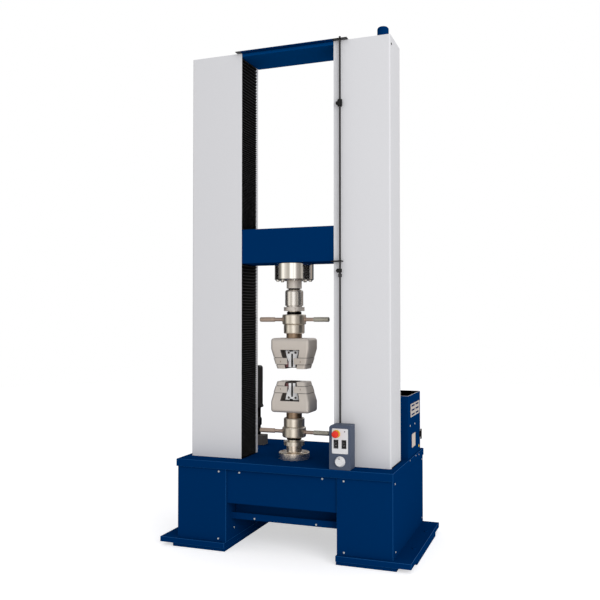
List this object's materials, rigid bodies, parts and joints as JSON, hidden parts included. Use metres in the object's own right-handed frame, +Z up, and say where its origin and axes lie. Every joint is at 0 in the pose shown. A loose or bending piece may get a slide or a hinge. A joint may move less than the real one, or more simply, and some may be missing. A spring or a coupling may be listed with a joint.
{
  "type": "universal testing machine",
  "caption": "Floor-standing testing frame: two covered screw columns, a moving crosshead with load cell and wedge grips, limit rod, control box and cabinet on a pedestal base.",
  "frame": {"origin": "on the floor, under the middle of the whole machine's bounding box", "axes": "+Z up along the columns, -Y towards the operator at the front, +X towards the control box"},
  "size_m": [1.1672, 0.7016, 2.3389],
  "materials": {
    "deep_blue_paint": "semi-gloss paint",
    "light_grey_paint": "fine textured powder coat",
    "nickel_plated_steel": "turned and nickel plated",
    "ground_steel": "ground",
    "dark_steel": "blackened",
    "black_bellows_cloth": "matt coated cloth",
    "black_plastic": "matt",
    "slate_grey_plastic": "fine textured paint",
    "white_plastic": "satin",
    "red_plastic": "gloss",
    "aluminium": "machined",
    "black_paint": "matt black paint"
  },
  "bodies": {
    "frame": {"left_foot_frame": "deep_blue_paint", "right_foot_frame": "deep_blue_paint", "left_pedestal_cover": "deep_blue_paint", "right_pedestal_cover": "deep_blue_paint", "front_apron": "deep_blue_paint", "belly_pan": "deep_blue_paint", "rear_panel": "deep_blue_paint", "table_plate": "deep_blue_paint", "motor_tray": "nickel_plated_steel", "left_column_cover": "light_grey_paint", "right_column_cover": "light_grey_paint", "left_guide_column": "ground_steel", "right_guide_column": "ground_steel", "top_yoke": "deep_blue_paint", "top_plate": "black_paint", "top_boss": "deep_blue_paint", "upper_left_bellows": "black_bellows_cloth", "upper_right_bellows": "black_bellows_cloth", "lower_left_bellows": "black_bellows_cloth", "lower_right_bellows": "black_bellows_cloth", "drive_motor": "black_paint", "drive_belt": "black_bellows_cloth", "lower_flange": "nickel_plated_steel", "lower_ring_nut": "nickel_plated_steel", "lower_stem": "nickel_plated_steel", "lower_grip_body": "nickel_plated_steel", "lower_jaw_strap": "nickel_plated_steel", "control_box": "slate_grey_plastic", "control_panel": "white_plastic", "cabinet": "deep_blue_paint", "vent_grille": "light_grey_paint", "rear_stand": "black_paint"},
    "crosshead": {"crosshead": "deep_blue_paint", "left_ball_nut": "nickel_plated_steel", "right_ball_nut": "nickel_plated_steel", "load_cell": "nickel_plated_steel", "load_cell_stud": "nickel_plated_steel", "coupling_sleeve": "nickel_plated_steel", "upper_ring_nut": "nickel_plated_steel", "upper_stem": "nickel_plated_steel", "upper_grip_body": "nickel_plated_steel", "upper_jaw_strap": "nickel_plated_steel", "trip_arm": "black_paint"},
    "left_screw": {"left_ball_screw": "ground_steel"},
    "right_screw": {"right_ball_screw": "ground_steel"},
    "motor_pulley": {"motor_pulley": "aluminium"},
    "upper_collar": {"upper_collar": "nickel_plated_steel"},
    "upper_left_jaw": {"upper_left_jaw": "ground_steel"},
    "upper_right_jaw": {"upper_right_jaw": "ground_steel"},
    "lower_collar": {"lower_collar": "nickel_plated_steel"},
    "lower_left_jaw": {"lower_left_jaw": "ground_steel"},
    "lower_right_jaw": {"lower_right_jaw": "ground_steel"},
    "limit_rod": {"limit_rod": "dark_steel"},
    "upper_stop": {"upper_stop": "black_plastic"},
    "lower_stop": {"lower_stop": "black_plastic"},
    "emergency_stop": {"emergency_stop": "red_plastic"},
    "left_rocker": {"left_rocker": "black_plastic"},
    "right_rocker": {"right_rocker": "black_plastic"},
    "speed_knob": {"speed_knob": "white_plastic"},
    "isolator_switch": {"isolator_switch": "black_plastic"}
  },
  "joints": [
    {"name": "crosshead_travel", "type": "slide", "parent": "frame", "child": "crosshead", "axis": [0, 0, 1], "range_m": [-0.018, 0.66], "deforming": ["upper_left_bellows", "upper_right_bellows", "lower_left_bellows", "lower_right_bellows"]},
    {"name": "left_screw_spin", "type": "hinge", "parent": "frame", "child": "left_screw", "pos_m": [-0.31, -0.13355, 1], "axis": [0, 0, 1], "range_deg": [-11900, 340]},
    {"name": "right_screw_spin", "type": "hinge", "parent": "frame", "child": "right_screw", "pos_m": [0.31, -0.13355, 1], "axis": [0, 0, 1], "range_deg": [-11900, 340]},
    {"name": "motor_pulley_spin", "type": "hinge", "parent": "frame", "child": "motor_pulley", "pos_m": [0, 0.06585, 0.276], "axis": [0, 0, 1], "range_deg": [-23800, 680]},
    {"name": "upper_collar_turn", "type": "hinge", "parent": "crosshead", "child": "upper_collar", "pos_m": [0, -0.13355, 1.037], "axis": [0, 0, 1], "range_deg": [0, 360]},
    {"name": "upper_left_jaw_slide", "type": "slide", "parent": "crosshead", "child": "upper_left_jaw", "axis": [0.225, 0, -0.9744], "range_m": [0, 0.0142]},
    {"name": "upper_right_jaw_slide", "type": "slide", "parent": "crosshead", "child": "upper_right_jaw", "axis": [-0.225, 0, -0.9744], "range_m": [0, 0.0142]},
    {"name": "lower_collar_turn", "type": "hinge", "parent": "frame", "child": "lower_collar", "pos_m": [0, -0.13355, 0.52], "axis": [0, 0, 1], "range_deg": [0, 360]},
    {"name": "lower_left_jaw_slide", "type": "slide", "parent": "frame", "child": "lower_left_jaw", "axis": [0.225, 0, 0.9744], "range_m": [0, 0.0142]},
    {"name": "lower_right_jaw_slide", "type": "slide", "parent": "frame", "child": "lower_right_jaw", "axis": [-0.225, 0, 0.9744], "range_m": [0, 0.0142]},
    {"name": "limit_rod_travel", "type": "slide", "parent": "frame", "child": "limit_rod", "axis": [0, 0, 1], "range_m": [-0.006, 0.006], "stiffness_N_per_m": 4000, "springref_m": 0.0027},
    {"name": "upper_stop_slide", "type": "slide", "parent": "limit_rod", "child": "upper_stop", "axis": [0, 0, 1], "range_m": [0, 0.2]},
    {"name": "lower_stop_slide", "type": "slide", "parent": "limit_rod", "child": "lower_stop", "axis": [0, 0, 1], "range_m": [-0.5, 0]},
    {"name": "emergency_stop_press", "type": "slide", "parent": "frame", "child": "emergency_stop", "axis": [0, 1, 0], "range_m": [0, 0.004], "stiffness_N_per_m": 2000},
    {"name": "left_rocker_tilt", "type": "hinge", "parent": "frame", "child": "left_rocker", "pos_m": [0.2612, -0.32265, 0.5085], "axis": [1, 0, 0], "range_deg": [-8, 8], "stiffness_Nm_per_rad": 0.5},
    {"name": "right_rocker_tilt", "type": "hinge", "parent": "frame", "child": "right_rocker", "pos_m": [0.2965, -0.32265, 0.5085], "axis": [1, 0, 0], "range_deg": [-8, 8], "stiffness_Nm_per_rad": 0.5},
    {"name": "speed_knob_turn", "type": "hinge", "parent": "frame", "child": "speed_knob", "pos_m": [0.279, -0.32415, 0.435], "axis": [0, 1, 0], "range_deg": [-150, 150]},
    {"name": "isolator_switch_turn", "type": "hinge", "parent": "frame", "child": "isolator_switch", "pos_m": [0.5, 0.28295, 0.478], "axis": [1, 0, 0], "range_deg": [0, 90]}
  ],
  "couplings": [
    {"joint": "left_screw_spin", "follows": "crosshead_travel", "rad_per_m": -314.16},
    {"joint": "right_screw_spin", "follows": "crosshead_travel", "rad_per_m": -314.16},
    {"joint": "motor_pulley_spin", "follows": "crosshead_travel", "rad_per_m": -628.32},
    {"joint": "upper_left_jaw_slide", "follows": "upper_collar_turn", "m_per_rad": 0.0022282},
    {"joint": "upper_right_jaw_slide", "follows": "upper_collar_turn", "m_per_rad": 0.0022282},
    {"joint": "lower_left_jaw_slide", "follows": "lower_collar_turn", "m_per_rad": 0.0022282},
    {"joint": "lower_right_jaw_slide", "follows": "lower_collar_turn", "m_per_rad": 0.0022282}
  ]
}
